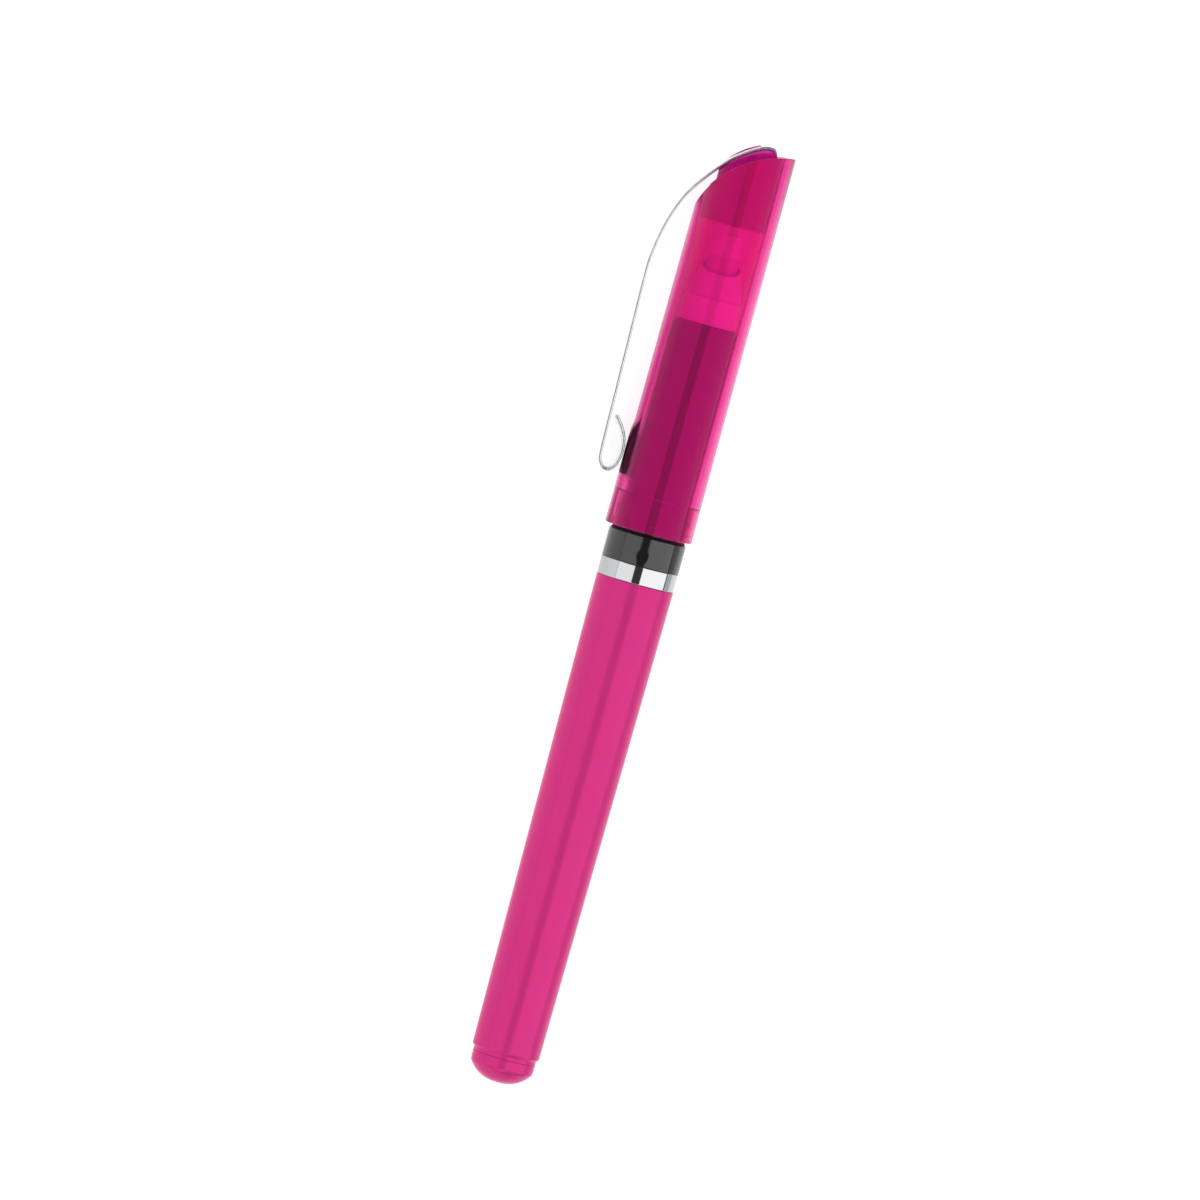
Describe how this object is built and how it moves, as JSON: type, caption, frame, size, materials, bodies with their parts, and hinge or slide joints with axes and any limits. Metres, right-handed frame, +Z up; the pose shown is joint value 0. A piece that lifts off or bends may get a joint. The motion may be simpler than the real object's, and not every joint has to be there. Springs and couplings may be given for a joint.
{
  "type": "retractable highlighter",
  "caption": "Capped highlighter with a twist knob that retracts its gel stick, a clear magenta cap and a bent steel strip clip, lying on its cap and clip.",
  "frame": {"origin": "on the desk plane, under the middle of the pen's length and width", "axes": "+Z up from the desk; +X along the pen's level axis, from the cap towards the twist knob; the clip hangs towards -Y and down to the desk"},
  "size_m": [0.14, 0.0168, 0.0127],
  "materials": {
    "cap_clear": "clear magenta polystyrene, polished mould",
    "barrel_magenta": "opaque magenta, glossy moulded",
    "grip_black": "black, glossy moulded",
    "ring_chrome": "mirror plated",
    "strip_steel": "bright rolled spring steel",
    "gel_pink": "waxy gel",
    "collar_pink": "light pink, moulded",
    "natural_nylon": "uncoloured, moulded",
    "rubber_black": "matt",
    "seal_soft": "soft magenta"
  },
  "bodies": {
    "body": {"barrel": "barrel_magenta", "rear_bushing": "natural_nylon", "thrust_washer": "natural_nylon", "guide_tube": "natural_nylon", "trim_ring": "ring_chrome", "grip_section": "grip_black", "nose_cone": "collar_pink"},
    "knob": {"end_knob": "barrel_magenta", "lead_screw": "natural_nylon", "retaining_ring": "strip_steel", "friction_o_ring": "rubber_black"},
    "carrier": {"stick_carrier": "natural_nylon", "carrier_nut": "natural_nylon", "gel_stick": "gel_pink"},
    "cap": {"cap_shell": "cap_clear", "cap_crown": "cap_clear", "seal_cup": "seal_soft"},
    "clip": {"clip": "strip_steel"}
  },
  "joints": [
    {"name": "knob_turn", "type": "hinge", "parent": "body", "child": "knob", "pos_m": [0.06, 0.00202, 0.00635], "axis": [-1, 0, 0], "range_deg": [0, 480]},
    {"name": "carrier_slide", "type": "slide", "parent": "body", "child": "carrier", "axis": [-1, 0, 0], "range_m": [-0.008, 0]},
    {"name": "cap_pull", "type": "slide", "parent": "body", "child": "cap", "axis": [-1, 0, 0], "range_m": [0, 0.06]},
    {"name": "clip_flex", "type": "hinge", "parent": "cap", "child": "clip", "pos_m": [-0.06921, 0.00471, 0.00768], "axis": [0, 0.4426, -0.8967], "range_deg": [0, 5], "stiffness_Nm_per_rad": 1.2}
  ],
  "couplings": [
    {"joint": "knob_turn", "follows": "carrier_slide", "rad_per_m": -1047.2}
  ]
}
